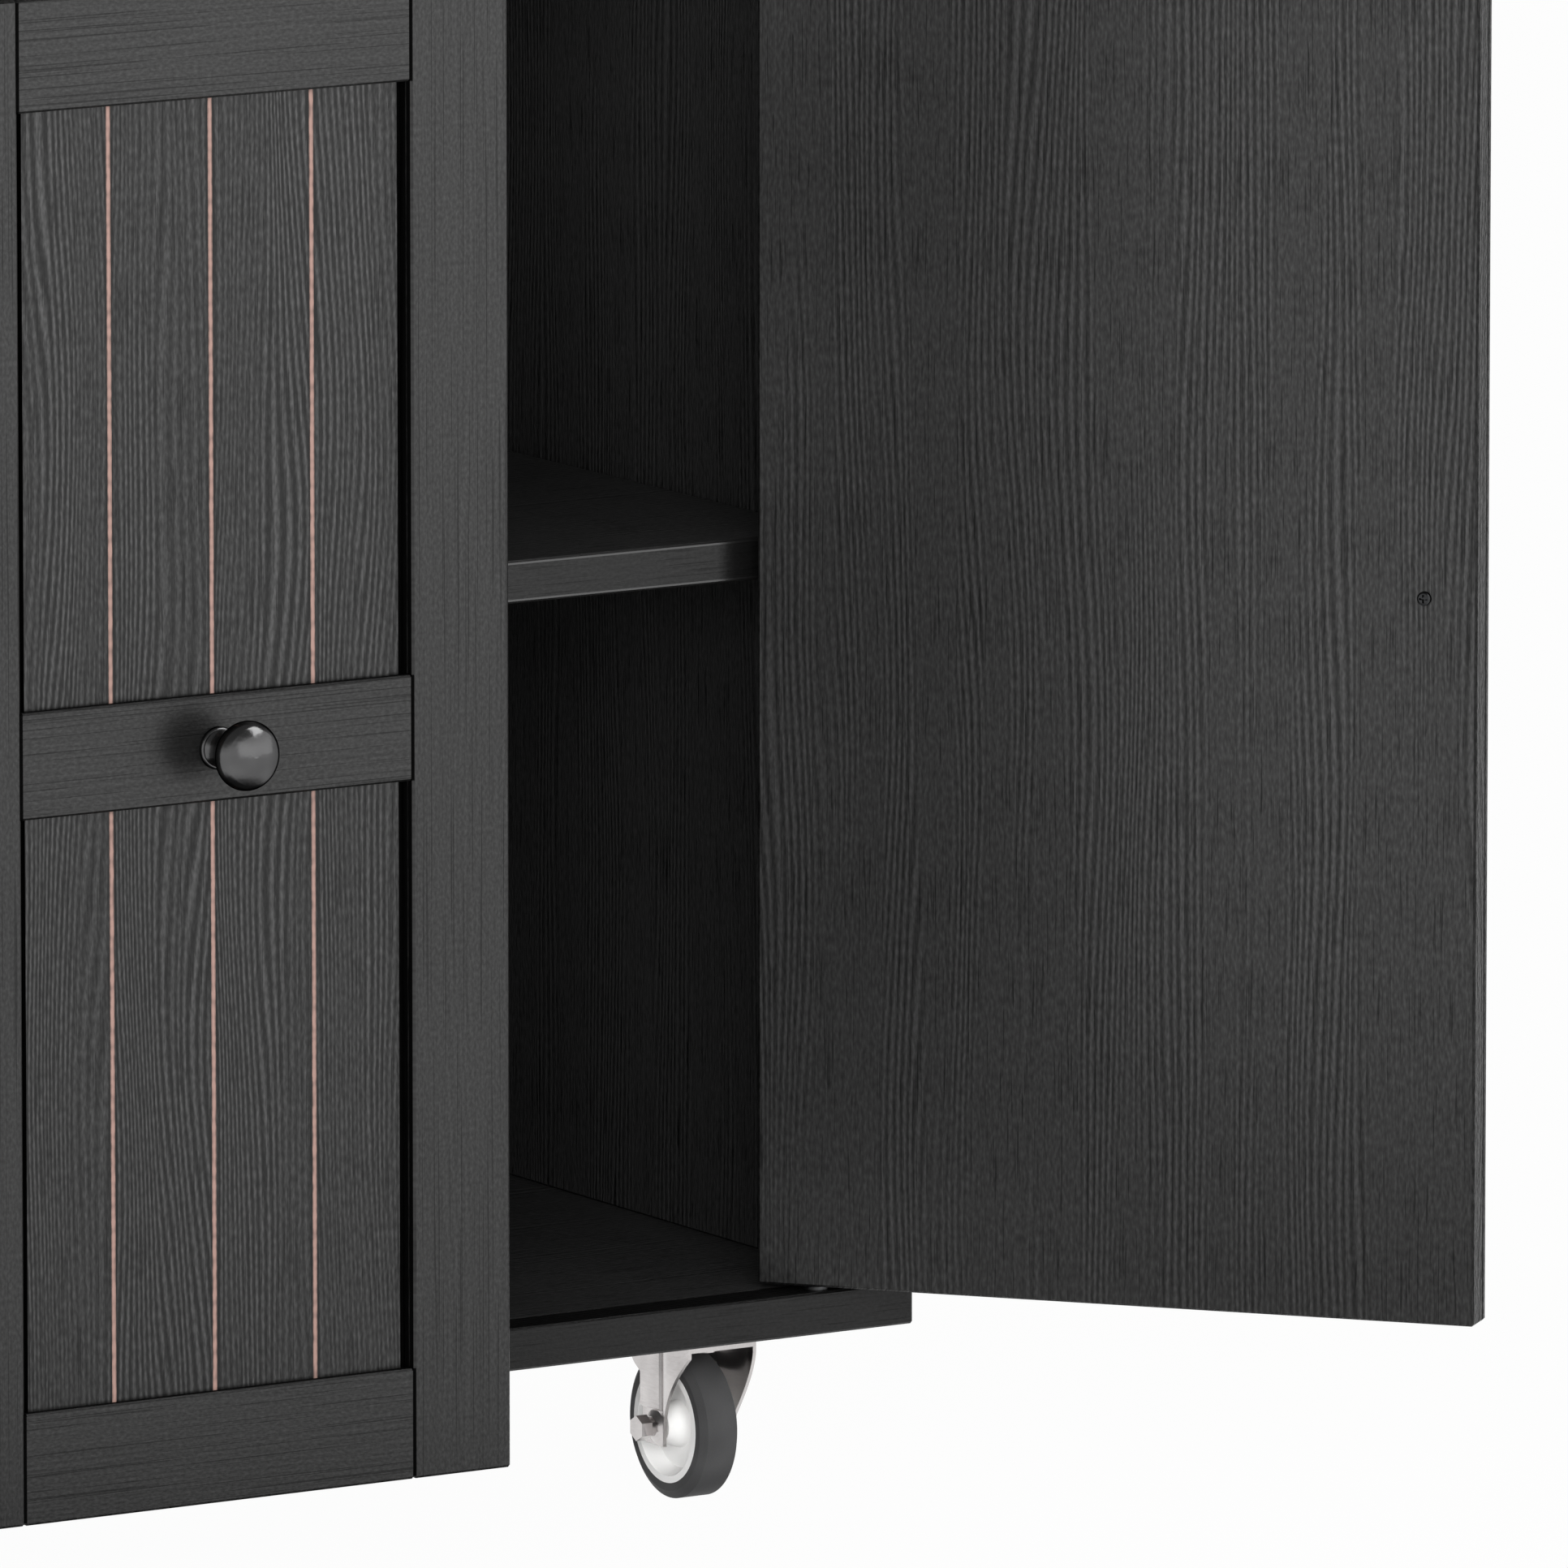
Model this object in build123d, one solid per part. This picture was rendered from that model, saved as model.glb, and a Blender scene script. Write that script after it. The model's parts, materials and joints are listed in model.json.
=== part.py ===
from build123d import *
import os
from math import cos, hypot, radians, sin

# Kitchen island cart on castors: two doors, a tall pull-out between them and two drawers above.
# Lengths are in millimetres, angles in degrees.
# +X is to the right of someone facing the fronts, +Y to the back, +Z up.
# The origin is on the floor, under the middle of the cabinet.

# Boards of the cabinet
BOARD = 16.0
EASE = 0.8
CABINET_DEPTH = 420.0
BACK_THICK = 6.0
FRONT_RAIL_DEPTH = 17.0
TOP_RAIL_DEPTH = 60.0
WORKTOP_THICK = 25.0
WORKTOP_OVERHANG = 20.0
WORKTOP_CORNER = 12.0
WORKTOP_ROUND = 3.0

# Fronts: a backing panel with stiles and rails glued on it
REVEAL = 2.0
DOOR_WIDTH = 277.0
PULLOUT_WIDTH = 240.0
FRONT_HEIGHT = 541.5
DRAWER_FRONT_HEIGHT = 176.0
PANEL_THICK = 12.0
STRIP_THICK = 4.0
STILE_WIDTH = 40.0
RAIL_WIDTH = 40.0
MIDDLE_RAIL_WIDTH = 38.0
INLAY_PITCH = 41.3
INLAY_WIDTH = 1.8
INLAY_DEPTH = 1.0
INLAY_TUCK = 5.0
SHADOW_GAP_WIDTH = 3.6
SHADOW_GAP_DEPTH = 4.0

# Pose at rest
DOOR_OPEN = 130.0
PULLOUT_OUT = 229.0

# Knobs and their screws
KNOB_RADIUS = 12.5
KNOB_RIM = 20.0
KNOB_DOME = 6.5
KNOB_EDGE = 4.5
KNOB_UNDERCUT_ANGLE = 60.0
KNOB_FOOT_RADIUS = 7.7
KNOB_FOOT_THICK = 2.0
KNOB_FOOT_ROUND = 1.0
KNOB_NECK_RADIUS = 4.6
KNOB_NECK_RISE = 7.5
SCREW_RADIUS = 1.5
SCREW_IN_KNOB = 9.0
SCREW_HEAD_RADIUS = 2.6
SCREW_HEAD_HEIGHT = 1.8
SCREW_CROSS_LENGTH = 3.2
SCREW_CROSS_WIDTH = 0.8
SCREW_CROSS_DEPTH = 1.3
SCREW_CLEARANCE = 0.2

# Door pivots
PIVOT_INSET = 20.0
PIN_RADIUS = 2.5
PIN_IN_DOOR = 18.0
PIN_IN_BUSH = 8.0
PIN_END_PLAY = 0.9
BUSH_RADIUS = 3.6
BUSH_DEPTH = 11.0
BUSH_FLANGE_RADIUS = 4.8
BUSH_FLANGE = 1.2
RUNNING_CLEARANCE = 0.05

# Shelves and their pins
SHELF_CLEARANCE = 1.0
SHELF_PIN_INSET = 37.0
PEG_RADIUS = 2.5
PEG_DEPTH = 8.0
SPOON_RADIUS = 3.6
SPOON_LENGTH = 9.0

# Runners of the drawers and the pull-out
RUNNER_HEIGHT = 35.0
RUNNER_GAP = 12.5
RUNNER_DEPTH = 9.0
RUNNER_LENGTH = 350.0
RUNNER_SETBACK = 20.0
RUNNER_WALL = 1.2
RUNNER_LIP = 5.0
RUNNER_PLAY = 0.9
RUNNER_NECK = 21.0
RUNNER_BRIM = 3.0

# Drawer boxes and the pull-out's carriage
BOX_BOARD = 12.0
BOX_BACK_GAP = 18.0
BOX_FLOOR = 5.0
BOX_GROOVE = 5.0
BOX_FLOOR_RISE = 9.0
DRAWER_BOX_HEIGHT = 110.0
DRAWER_BOX_RISE = 22.0
TRAY_HEIGHT = 70.0
TRAY_RISE = 8.0
TIER_SPACING = 165.0
TIER_COUNT = 2
PULLOUT_BACK_DROP = 30.0
GUARD_RADIUS = 3.0
GUARD_RISE = 48.0
GUARD_INSET = 7.0
GUARD_SEAT = 6.0

# Castors
CASTOR_HEIGHT = 66.0
CASTOR_SIDE_INSET = 71.0
CASTOR_FRONT_INSET = 36.0
CASTOR_BACK_INSET = 60.0
CASTOR_TRAIL = 12.0
WHEEL_RADIUS = 27.7
WHEEL_HALF_WIDTH = 8.25
TREAD_HALF_WIDTH = 6.3
SHOULDER_RADIUS = 24.7
CORE_RADIUS = 21.8
CORE_RIM = 2.6
CORE_WEB_HALF = 2.2
HUB_RADIUS = 6.5
HUB_PLAY = 0.6
FORK_WALL = 1.4
FORK_HALF_WIDTH = 14.0
FORK_BULGE = 4.9
FORK_KNEE = 5.9
FORK_HIP = 11.9
FORK_HIP_RISE = 3.6
FORK_HOLLOW = 0.9
FORK_FRONT = 27.4
FORK_BACK = 22.0
FORK_CROWN = 2.2
CROWN_GAP = 0.3
TAB_HALF_WIDTH = 9.0
TAB_BELOW_AXLE = 7.0
TAB_CORNER = 3.5
RIB_ABOVE_AXLE = 6.6
RIB_RISE = 1.6
BOSS_RADIUS = 6.4
BOSS_TOP_RADIUS = 3.8
BOSS_RISE = 1.6
AXLE_RADIUS = 2.5
HEX_ACROSS = 8.4
BOLT_HEAD = 4.6
BOLT_COLLAR = 2.2
BOLT_COLLAR_RADIUS = 3.6
NUT_HEIGHT = 4.0
BOLT_END = 2.0
PLATE_LENGTH = 58.0
PLATE_WIDTH = 50.0
PLATE_THICK = 2.0
PLATE_CORNER = 6.0
PLATE_HOLE_X = 44.0
PLATE_HOLE_Y = 34.0
RACE_RADIUS = 15.0
RACE_DROP = 1.75
KINGPIN_RADIUS = 4.0
KINGPIN_HEAD_RADIUS = 7.0
KINGPIN_HEAD = 2.0
KINGPIN_GAP = 0.35
WOOD_SCREW_RADIUS = 2.0
WOOD_SCREW_HEAD_RADIUS = 3.8
WOOD_SCREW_HEAD = 1.4
WOOD_SCREW_LENGTH = 12.0

# Planes that the pieces share
FRONT_THICK = PANEL_THICK + STRIP_THICK
DOOR_BAY = DOOR_WIDTH + 2 * REVEAL
PULLOUT_BAY = PULLOUT_WIDTH + 2 * REVEAL
CABINET_WIDTH = 4 * BOARD + 2 * DOOR_BAY + PULLOUT_BAY
SIDE_OUT = CABINET_WIDTH / 2
SIDE_IN = SIDE_OUT - BOARD
PARTITION_IN = PULLOUT_BAY / 2
PARTITION_OUT = PARTITION_IN + BOARD

FRONT = -CABINET_DEPTH / 2
BACK = CABINET_DEPTH / 2
INNER_BACK = BACK - BACK_THICK
BOX_FRONT = FRONT + FRONT_THICK
BOX_BACK = INNER_BACK - BOX_BACK_GAP

BASE_LOW = CASTOR_HEIGHT
BASE_TOP = BASE_LOW + BOARD
FRONT_LOW = BASE_TOP + REVEAL
FRONT_TOP = FRONT_LOW + FRONT_HEIGHT
FRONT_MIDDLE = (FRONT_LOW + FRONT_TOP) / 2
DECK_LOW = FRONT_TOP + REVEAL
DECK_TOP = DECK_LOW + BOARD
DRAWER_LOW = DECK_TOP + REVEAL
DRAWER_TOP = DRAWER_LOW + DRAWER_FRONT_HEIGHT
DRAWER_MIDDLE = (DRAWER_LOW + DRAWER_TOP) / 2
TOP_RAIL_LOW = DRAWER_TOP + REVEAL
CABINET_TOP = TOP_RAIL_LOW + BOARD

PIVOT_X = SIDE_IN - REVEAL - PIVOT_INSET
PIVOT_Y = FRONT + FRONT_THICK / 2
HEEL_REACH = hypot(PIVOT_INSET, FRONT_THICK / 2)
SHELF_FRONT = PIVOT_Y + HEEL_REACH + SHELF_CLEARANCE
SHELF_LOW = (BASE_TOP + DECK_LOW - BOARD) / 2

DRAWER_BOX_LOW = DRAWER_LOW + DRAWER_BOX_RISE
DRAWER_RUNNER_Z = DRAWER_BOX_LOW + DRAWER_BOX_HEIGHT / 2
TRAY_LOW = BASE_TOP + TRAY_RISE
TRAY_RUNNER_Z = TRAY_LOW + TRAY_HEIGHT / 2
CARRIAGE_HALF = PARTITION_IN - RUNNER_GAP

AXLE_Z = WHEEL_RADIUS
PLATE_LOW = CASTOR_HEIGHT - PLATE_THICK
RACE_LOW = PLATE_LOW - RACE_DROP
CROWN_TOP = RACE_LOW - CROWN_GAP
CROWN_LOW = CROWN_TOP - FORK_CROWN
TAB_OUT = FORK_HALF_WIDTH - RIB_RISE
TAB_IN = TAB_OUT - FORK_WALL
BOSS_OUT = TAB_OUT + BOSS_RISE
CASTOR_X = SIDE_OUT - CASTOR_SIDE_INSET
CASTOR_Y = {"front": FRONT + CASTOR_FRONT_INSET, "back": BACK - CASTOR_BACK_INSET}

SIDES = {"left": -1, "right": 1}


def pair(a, b):
    """Two planes in rising order."""
    return (min(a, b), max(a, b))


def mirrored(side, a, b):
    """Two planes of the right-hand half, or of the left-hand half for side -1."""
    return pair(side * a, side * b)


def block(x, y, z):
    """Sharp block between three pairs of planes."""
    size = [high - low for low, high in (x, y, z)]
    centre = [(low + high) / 2 for low, high in (x, y, z)]
    return Pos(*centre) * Box(*size)


def board(x, y, z):
    """Board between three pairs of planes, with eased edges."""
    body = block(x, y, z)
    return chamfer(body.edges(), EASE)


def rod_z(x, y, z, radius):
    """Upright round bar between two heights."""
    low, high = pair(*z)
    return Pos(x, y, (low + high) / 2) * Cylinder(radius, high - low)


def rod_y(x, y, z, radius):
    """Round bar along Y."""
    low, high = pair(*y)
    return Pos(x, (low + high) / 2, z) * Rot(90, 0, 0) * Cylinder(radius, high - low)


def rod_x(x, y, z, radius):
    """Round bar along X."""
    low, high = pair(*x)
    return Pos((low + high) / 2, y, z) * Rot(0, 90, 0) * Cylinder(radius, high - low)


def outline(points):
    """Flat face inside a closed row of points."""
    return make_face(Polyline(*points, close=True))


# Cabinet

def pivot_seats(part):
    """Sink the seats of the pivot bushes that fall in a board."""
    for side in SIDES.values():
        part -= rod_z(side * PIVOT_X, PIVOT_Y, (BASE_TOP - BUSH_DEPTH, BASE_TOP), BUSH_RADIUS)
        part -= rod_z(side * PIVOT_X, PIVOT_Y, (DECK_LOW, DECK_LOW + BUSH_DEPTH), BUSH_RADIUS)
    return part


def castor_places():
    """Name and swivel axis of each castor."""
    for row, y in CASTOR_Y.items():
        for name, side in SIDES.items():
            yield f"{row}_{name}", side * CASTOR_X, y


def plate_holes(x, y):
    """Centres of one castor plate's screw holes."""
    for dx in (-PLATE_HOLE_X / 2, PLATE_HOLE_X / 2):
        for dy in (-PLATE_HOLE_Y / 2, PLATE_HOLE_Y / 2):
            yield x + dx, y + dy


def screw_pilots(part):
    """Bore the castor screws' pilot holes into the underside of a board."""
    for _, x, y in castor_places():
        for hole_x, hole_y in plate_holes(x, y):
            part -= rod_z(hole_x, hole_y, (BASE_LOW, BASE_LOW + WOOD_SCREW_LENGTH), WOOD_SCREW_RADIUS)
    return part


def shelf_pin_places():
    """Wall plane, direction into the bay, and Y of every shelf pin."""
    for side in SIDES.values():
        for y in (SHELF_FRONT + SHELF_PIN_INSET, INNER_BACK - SHELF_PIN_INSET):
            yield side * SIDE_IN, -side, y
            yield side * PARTITION_OUT, side, y


def peg(wall, into_bay, y):
    """Round peg of a shelf pin, inside the wall."""
    return rod_x((wall - into_bay * PEG_DEPTH, wall), y, SHELF_LOW, PEG_RADIUS)


def shelf_pin(wall, into_bay, y):
    """Shelf pin: a peg and a half-round spoon with a flat top under the shelf."""
    spoon = rod_x((wall, wall + into_bay * SPOON_LENGTH), y, SHELF_LOW, SPOON_RADIUS)
    tip = wall + into_bay * SPOON_LENGTH
    upper = (SHELF_LOW, SHELF_LOW + SPOON_RADIUS)
    spoon -= block(pair(wall, tip), (y - SPOON_RADIUS, y + SPOON_RADIUS), upper)
    return peg(wall, into_bay, y) + spoon


def peg_holes(part):
    """Bore the holes of the shelf pins that fall in a board."""
    for place in shelf_pin_places():
        part -= peg(*place)
    return part


def worktop():
    """Thick top with rounded corners and a softened upper edge."""
    x = (-SIDE_OUT - WORKTOP_OVERHANG, SIDE_OUT + WORKTOP_OVERHANG)
    y = (FRONT - WORKTOP_OVERHANG, BACK + WORKTOP_OVERHANG)
    top = block(x, y, (CABINET_TOP, CABINET_TOP + WORKTOP_THICK))
    top = fillet(top.edges().filter_by(Axis.Z), WORKTOP_CORNER)
    top = fillet(top.faces().sort_by(Axis.Z)[-1].edges(), WORKTOP_ROUND)
    return chamfer(top.faces().sort_by(Axis.Z)[0].edges(), EASE)


def side_panel(side):
    panel = board(mirrored(side, SIDE_IN, SIDE_OUT), (FRONT, BACK), (BASE_TOP, CABINET_TOP))
    return peg_holes(panel)


def partition(side):
    panel = board(mirrored(side, PARTITION_IN, PARTITION_OUT), (FRONT, INNER_BACK), (BASE_TOP, DECK_LOW))
    return peg_holes(panel)


def shelf(side):
    x = mirrored(side, PARTITION_OUT + SHELF_CLEARANCE, SIDE_IN - SHELF_CLEARANCE)
    return board(x, (SHELF_FRONT, INNER_BACK - SHELF_CLEARANCE), (SHELF_LOW, SHELF_LOW + BOARD))


def pivot_bush(side, mouth, into_board):
    """Flanged bush for a pivot pin; into_board is the direction from its flange into the board."""
    x = side * PIVOT_X
    body = rod_z(x, PIVOT_Y, (mouth, mouth + into_board * BUSH_DEPTH), BUSH_RADIUS)
    body += rod_z(x, PIVOT_Y, (mouth - into_board * BUSH_FLANGE, mouth), BUSH_FLANGE_RADIUS)
    bore = (mouth - into_board * BUSH_FLANGE, mouth + into_board * (PIN_IN_BUSH + PIN_END_PLAY))
    return body - rod_z(x, PIVOT_Y, bore, PIN_RADIUS + RUNNING_CLEARANCE)


def fixed_runner(wall, into_bay, z):
    """C channel with lips, screwed to a wall."""
    half = RUNNER_HEIGHT / 2
    lip = half - RUNNER_LIP
    inner = half - RUNNER_WALL
    mouth = RUNNER_DEPTH - RUNNER_WALL
    half_row = [(0, half), (RUNNER_DEPTH, half), (RUNNER_DEPTH, lip)]
    half_row += [(mouth, lip), (mouth, inner), (RUNNER_WALL, inner)]
    return runner(half_row, wall, into_bay, z)


def moving_runner(wall, into_bay, z):
    """Hat channel that slides in the C channel and carries a box side."""
    edge = RUNNER_HEIGHT / 2 - RUNNER_WALL - RUNNER_PLAY
    neck = RUNNER_NECK / 2
    brim = RUNNER_BRIM + RUNNER_WALL
    crown = RUNNER_GAP - RUNNER_WALL
    half_row = [(RUNNER_GAP, neck), (brim, neck), (brim, edge), (RUNNER_BRIM, edge)]
    half_row += [(RUNNER_BRIM, neck - RUNNER_WALL), (crown, neck - RUNNER_WALL)]
    return runner(half_row, wall, into_bay, z)


def runner(half_row, wall, into_bay, z):
    """Run a profile, given by its upper half, along Y beside a wall."""
    lower = [(depth, -height) for depth, height in reversed(half_row)]
    start = FRONT + RUNNER_SETBACK
    points = [(wall + into_bay * depth, start, z + height) for depth, height in half_row + lower]
    return extrude(outline(points), RUNNER_LENGTH, dir=(0, 1, 0))


def cabinet():
    """Every piece that stays with the cabinet."""
    nodes = {"worktop": [worktop()]}
    for name, side in SIDES.items():
        nodes[f"{name}_side_panel"] = [side_panel(side)]
        nodes[f"{name}_partition"] = [partition(side)]
        nodes[f"{name}_shelf"] = [shelf(side)]
    wide = (-SIDE_OUT, SIDE_OUT)
    between = (-SIDE_IN, SIDE_IN)
    rail_back = FRONT + FRONT_RAIL_DEPTH
    nodes["bottom_panel"] = [screw_pilots(board(wide, (rail_back, BACK), (BASE_LOW, BASE_TOP)))]
    nodes["bottom_front_rail"] = [pivot_seats(board(wide, (FRONT, rail_back), (BASE_LOW, BASE_TOP)))]
    nodes["back_panel"] = [board(between, (INNER_BACK, BACK), (BASE_TOP, CABINET_TOP))]
    nodes["drawer_deck"] = [pivot_seats(board(between, (FRONT, INNER_BACK), (DECK_LOW, DECK_TOP)))]
    nodes["drawer_divider"] = [board((-BOARD / 2, BOARD / 2), (FRONT, INNER_BACK), (DECK_TOP, TOP_RAIL_LOW))]
    rails = [(FRONT, FRONT + TOP_RAIL_DEPTH), (INNER_BACK - TOP_RAIL_DEPTH, INNER_BACK)]
    nodes["top_rails"] = [board(between, y, (TOP_RAIL_LOW, CABINET_TOP)) for y in rails]
    nodes["shelf_pins"] = [shelf_pin(*place) for place in shelf_pin_places()]
    nodes["pivot_bushes"] = []
    nodes["cabinet_runners"] = []
    for side in SIDES.values():
        nodes["pivot_bushes"] += [pivot_bush(side, BASE_TOP, -1), pivot_bush(side, DECK_LOW, 1)]
        nodes["cabinet_runners"] += [
            fixed_runner(side * PARTITION_IN, -side, TRAY_RUNNER_Z),
            fixed_runner(side * SIDE_IN, -side, DRAWER_RUNNER_Z),
            fixed_runner(side * BOARD / 2, side, DRAWER_RUNNER_Z),
        ]
    nodes["castor_plates"] = []
    for _, x, y in castor_places():
        nodes["castor_plates"] += castor_plate(x, y)
    return nodes


# Fronts

def tall_rails():
    """Heights of the three rails of a tall front."""
    middle = (FRONT_MIDDLE - MIDDLE_RAIL_WIDTH / 2, FRONT_MIDDLE + MIDDLE_RAIL_WIDTH / 2)
    return [(FRONT_LOW, FRONT_LOW + RAIL_WIDTH), middle, (FRONT_TOP - RAIL_WIDTH, FRONT_TOP)]


def drawer_rails():
    """Heights of the two rails of a drawer front."""
    return [(DRAWER_LOW, DRAWER_LOW + RAIL_WIDTH), (DRAWER_TOP - RAIL_WIDTH, DRAWER_TOP)]


def backing(x, rails):
    """Flat backing panel of a front."""
    return board(x, (FRONT + STRIP_THICK, BOX_FRONT), (rails[0][0], rails[-1][1]))


def strips(x, rails):
    """Two stiles and the rails between them, glued on the backing."""
    y = (FRONT, FRONT + STRIP_THICK)
    height = (rails[0][0], rails[-1][1])
    inner = (x[0] + STILE_WIDTH, x[1] - STILE_WIDTH)
    stiles = [board((x[0], inner[0]), y, height), board((inner[1], x[1]), y, height)]
    return stiles + [board(inner, y, rail) for rail in rails]


def inlays(x, rails):
    """Thin upright lines let into the backing, evenly spaced about its middle."""
    field = x[1] - x[0] - 2 * STILE_WIDTH
    count = max(round(field / INLAY_PITCH) - 1, 1)
    middle = (x[0] + x[1]) / 2
    y = (FRONT + STRIP_THICK, FRONT + STRIP_THICK + INLAY_DEPTH)
    lines = []
    for lower, upper in zip(rails, rails[1:]):
        z = (lower[1] - INLAY_TUCK, upper[0] + INLAY_TUCK)
        for i in range(count):
            centre = middle + (i - (count - 1) / 2) * INLAY_PITCH
            lines.append(block((centre - INLAY_WIDTH / 2, centre + INLAY_WIDTH / 2), y, z))
    return lines


def shadow_gaps(x, rails):
    """Narrow grooves in the backing along both stiles, which set the planked field off from its frame."""
    inner = (x[0] + STILE_WIDTH, x[1] - STILE_WIDTH)
    y = (FRONT + STRIP_THICK, FRONT + STRIP_THICK + SHADOW_GAP_DEPTH)
    gaps = []
    for lower, upper in zip(rails, rails[1:]):
        z = (lower[1] - INLAY_TUCK, upper[0] + INLAY_TUCK)
        gaps.append(block((inner[0], inner[0] + SHADOW_GAP_WIDTH), y, z))
        gaps.append(block((inner[1] - SHADOW_GAP_WIDTH, inner[1]), y, z))
    return gaps


def knob(x, seat, z):
    """Mushroom knob seated on the plane y = seat, and the screw that holds it from behind."""
    core = KNOB_RADIUS - KNOB_EDGE
    crown = (core**2 + KNOB_DOME**2 - KNOB_EDGE**2) / (2 * (KNOB_DOME - KNOB_EDGE))
    share = crown / hypot(core, crown - KNOB_DOME)
    top = KNOB_RIM + KNOB_DOME
    undercut = radians(KNOB_UNDERCUT_ANGLE)
    under = (core + KNOB_EDGE * cos(undercut), KNOB_RIM - KNOB_EDGE * sin(undercut))
    meeting = (share * core, top - crown + share * (crown - KNOB_DOME))
    with BuildPart() as turned:
        with BuildSketch(Plane.XY):
            with BuildLine():
                foot_side = KNOB_FOOT_THICK - KNOB_FOOT_ROUND
                foot = Polyline((0, 0), (KNOB_FOOT_RADIUS, 0), (KNOB_FOOT_RADIUS, foot_side))
                edge = JernArc(foot @ 1, (0, 1), KNOB_FOOT_ROUND, 90)
                ThreePointArc(edge @ 1, (KNOB_NECK_RADIUS, KNOB_NECK_RISE), under)
                rim = ThreePointArc(under, (KNOB_RADIUS, KNOB_RIM), meeting)
                dome = TangentArc(rim @ 1, (0, top), tangent=rim % 1)
                Line(dome @ 1, foot @ 0)
            make_face()
        revolve(axis=Axis.Y)
    turned_knob = Pos(x, seat, z) * Rot(0, 0, 180) * turned.part
    shank = rod_y(x, (seat - SCREW_IN_KNOB, BOX_FRONT), z, SCREW_RADIUS)
    head = rod_y(x, (BOX_FRONT, BOX_FRONT + SCREW_HEAD_HEIGHT), z, SCREW_HEAD_RADIUS)
    rim = head.edges().filter_by(GeomType.CIRCLE).sort_by(Axis.Y)[-1]
    screw = shank + fillet(rim, SCREW_HEAD_HEIGHT / 2)
    return [turned_knob - shank, screw - cross_recess(x, BOX_FRONT + SCREW_HEAD_HEIGHT, z)]


def cross_recess(x, face, z):
    """Cross-shaped recess for a screwdriver, sunk into a screw head whose face is at y = face."""
    arm = Box(SCREW_CROSS_LENGTH, SCREW_CROSS_DEPTH, SCREW_CROSS_WIDTH)
    return Pos(x, face - SCREW_CROSS_DEPTH / 2, z) * (arm + Rot(0, 90, 0) * arm)


def knob_hole(part, x, z):
    """Drill a front for its knob screw."""
    return part - rod_y(x, (FRONT, BOX_FRONT), z, SCREW_RADIUS + SCREW_CLEARANCE)


def tall_front(x, knob_x):
    """Pieces of a tall front: backing with grooves, strips, inlays and knob."""
    rails = tall_rails()
    lines = inlays(x, rails)
    panel = backing(x, rails)
    for groove in lines + shadow_gaps(x, rails):
        panel -= groove
    return {
        "panel": [knob_hole(panel, knob_x, FRONT_MIDDLE)],
        "frame": [knob_hole(strip, knob_x, FRONT_MIDDLE) for strip in strips(x, rails)],
        "inlays": lines,
        "knob": knob(knob_x, FRONT, FRONT_MIDDLE),
    }


def door(side):
    """One door, closed."""
    hinge = SIDE_IN - REVEAL
    free = hinge - DOOR_WIDTH
    pieces = tall_front(mirrored(side, hinge, free), side * (free + STILE_WIDTH / 2))
    pins = [
        rod_z(side * PIVOT_X, PIVOT_Y, (BASE_TOP - PIN_IN_BUSH, FRONT_LOW + PIN_IN_DOOR), PIN_RADIUS),
        rod_z(side * PIVOT_X, PIVOT_Y, (FRONT_TOP - PIN_IN_DOOR, DECK_LOW + PIN_IN_BUSH), PIN_RADIUS),
    ]
    for pin in pins:
        pieces["panel"] = [panel - pin for panel in pieces["panel"]]
    pieces["pivot_pins"] = pins
    return pieces


def swung(pieces, side, angle):
    """Turn a door's pieces about its pivot."""
    turn = Pos(side * PIVOT_X, PIVOT_Y, 0) * Rot(0, 0, side * angle) * Pos(-side * PIVOT_X, -PIVOT_Y, 0)
    return {name: [turn * solid for solid in solids] for name, solids in pieces.items()}


# Pull-out and drawers

def pullout():
    """The pull-out, closed: front, tray on runners, back, tiers and guard rails."""
    pieces = tall_front((-PULLOUT_WIDTH / 2, PULLOUT_WIDTH / 2), 0)
    inside = CARRIAGE_HALF - BOX_BOARD
    across = (-CARRIAGE_HALF, CARRIAGE_HALF)
    along = (BOX_FRONT, BOX_BACK)
    pieces["tray"] = [
        board((-inside, inside), along, (TRAY_LOW, TRAY_LOW + BOX_BOARD)),
        board((-CARRIAGE_HALF, -inside), along, (TRAY_LOW, TRAY_LOW + TRAY_HEIGHT)),
        board((inside, CARRIAGE_HALF), along, (TRAY_LOW, TRAY_LOW + TRAY_HEIGHT)),
    ]
    back = board(across, (BOX_BACK, BOX_BACK + BOX_BOARD), (TRAY_LOW, FRONT_TOP - PULLOUT_BACK_DROP))
    tier_lows = [TRAY_LOW + (level + 1) * TIER_SPACING for level in range(TIER_COUNT)]
    pieces["tiers"] = [board(across, along, (low, low + BOX_BOARD)) for low in tier_lows]
    guard_x = CARRIAGE_HALF - GUARD_INSET
    guard_y = (BOX_FRONT - GUARD_SEAT, BOX_BACK + GUARD_SEAT)
    pieces["guard_rails"] = []
    for low in tier_lows:
        for side in SIDES.values():
            rail = rod_y(side * guard_x, guard_y, low + BOX_BOARD + GUARD_RISE, GUARD_RADIUS)
            pieces["guard_rails"].append(rail)
            pieces["panel"] = [panel - rail for panel in pieces["panel"]]
            back -= rail
    pieces["back"] = [back]
    pieces["runners"] = [moving_runner(side * PARTITION_IN, -side, TRAY_RUNNER_Z) for side in SIDES.values()]
    return pieces


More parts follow.
